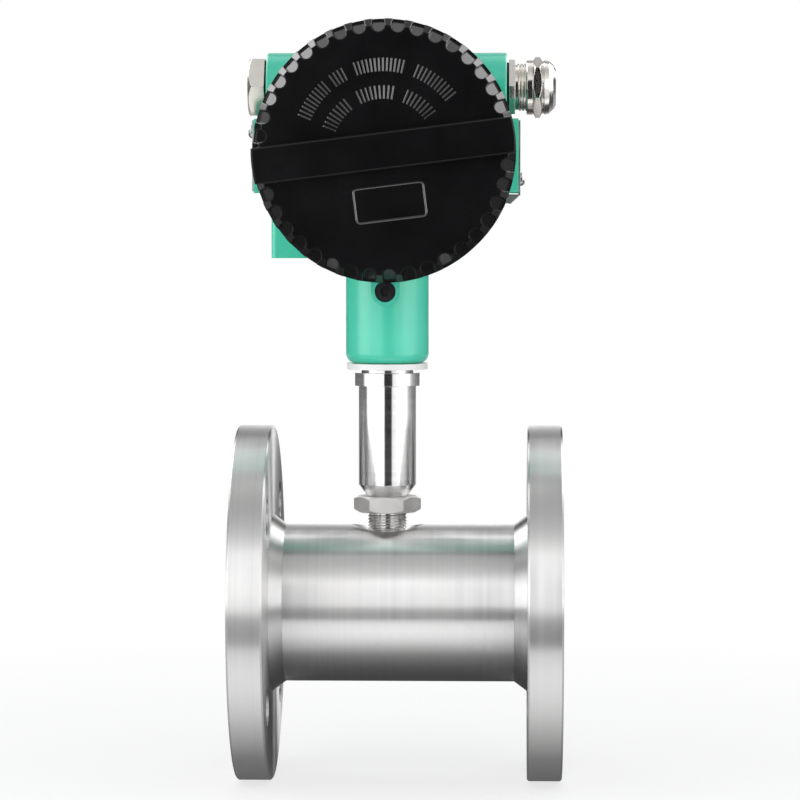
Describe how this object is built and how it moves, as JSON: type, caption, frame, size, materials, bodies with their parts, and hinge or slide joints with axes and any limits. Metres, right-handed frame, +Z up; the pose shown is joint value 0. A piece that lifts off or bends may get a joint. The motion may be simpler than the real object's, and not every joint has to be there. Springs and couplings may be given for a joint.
{
  "type": "liquid turbine flow meter",
  "caption": "Flanged turbine flow meter for a 50 mm liquid line: a bladed rotor between vaned guides, a pickup stem, and a round two-chamber signal head with screw covers and a cable gland.",
  "frame": {"origin": "centre of the inlet flange's face", "axes": "+X along the pipe with the flow, front cover of the head towards -Y, +Z up through the stem to the head"},
  "size_m": [0.15, 0.165, 0.351],
  "materials": {
    "stainless": "turned stainless steel",
    "nickel": "nickel plated, satin",
    "green_paint": "semi-gloss paint on cast aluminium",
    "black_paint": "satin black paint on cast aluminium",
    "black_steel": "black oxide",
    "rubber": "matt",
    "white_plastic": "matt",
    "hard_bearing": "polished",
    "copper": "enamelled wire",
    "iron": "plain",
    "board": "coated circuit board",
    "grey_plastic": "moulded",
    "brass": "plain",
    "plate": "satin sheet"
  },
  "bodies": {
    "meter": {"inlet_flange": "stainless", "outlet_flange": "stainless", "body_tube": "stainless", "inlet_guide": "stainless", "outlet_guide": "stainless", "inlet_retaining_ring": "stainless", "outlet_retaining_ring": "stainless", "pickup_stem": "stainless", "stem_locknut": "stainless", "stem_coupling": "stainless", "side_plate_screws": "stainless", "terminal_block_screws": "stainless", "board_screws": "stainless", "blanking_plug": "nickel", "gland_body": "nickel", "housing": "green_paint", "cover_lock_screw": "black_steel", "plug_gasket": "rubber", "gland_washer": "rubber", "gland_seal": "rubber", "neck_gasket": "white_plastic", "coil_bobbin": "white_plastic", "inlet_bearing": "hard_bearing", "outlet_bearing": "hard_bearing", "inlet_thrust_pad": "hard_bearing", "outlet_thrust_pad": "hard_bearing", "coil_winding": "copper", "pole_pin": "iron", "pickup_magnet": "iron", "preamp_board": "board", "main_board": "board", "terminal_block": "grey_plastic", "signal_lead": "grey_plastic", "feedthrough": "grey_plastic", "board_standoffs": "brass", "terminal_screws": "brass", "side_plate_left": "plate", "side_plate_right": "plate"},
    "rotor": {"rotor": "stainless", "rotor_shaft": "stainless"},
    "front_ring": {"front_cover_seal": "rubber"},
    "front_cover": {"front_cover": "black_paint"},
    "rear_ring": {"rear_cover_seal": "rubber"},
    "rear_cover": {"rear_cover": "black_paint"},
    "gland_ring": {"gland_clamp": "white_plastic"},
    "gland_nut": {"gland_nut": "nickel"}
  },
  "joints": [
    {"name": "rotor_spin", "type": "hinge", "parent": "meter", "child": "rotor", "pos_m": [0.069, 0, 0], "axis": [1, 0, 0], "continuous": true},
    {"name": "front_cover_travel", "type": "slide", "parent": "meter", "child": "front_ring", "axis": [0, -1, 0], "range_m": [0, 0.01]},
    {"name": "front_cover_turn", "type": "hinge", "parent": "front_ring", "child": "front_cover", "pos_m": [0.069, -0.031, 0.209], "axis": [0, -1, 0], "range_deg": [0, 1800]},
    {"name": "rear_cover_travel", "type": "slide", "parent": "meter", "child": "rear_ring", "axis": [0, 1, 0], "range_m": [0, 0.01]},
    {"name": "rear_cover_turn", "type": "hinge", "parent": "rear_ring", "child": "rear_cover", "pos_m": [0.069, 0.031, 0.209], "axis": [0, 1, 0], "range_deg": [0, 1800]},
    {"name": "gland_nut_travel", "type": "slide", "parent": "meter", "child": "gland_ring", "axis": [1, 0, 0], "range_m": [0, 0.006]},
    {"name": "gland_nut_turn", "type": "hinge", "parent": "gland_ring", "child": "gland_nut", "pos_m": [0.139, 0, 0.2389], "axis": [1, 0, 0], "range_deg": [0, 1440]}
  ],
  "couplings": [
    {"joint": "front_cover_travel", "follows": "front_cover_turn", "m_per_rad": 0.00031831},
    {"joint": "rear_cover_travel", "follows": "rear_cover_turn", "m_per_rad": 0.00031831},
    {"joint": "gland_nut_turn", "follows": "gland_nut_travel", "rad_per_m": 4188.8}
  ]
}
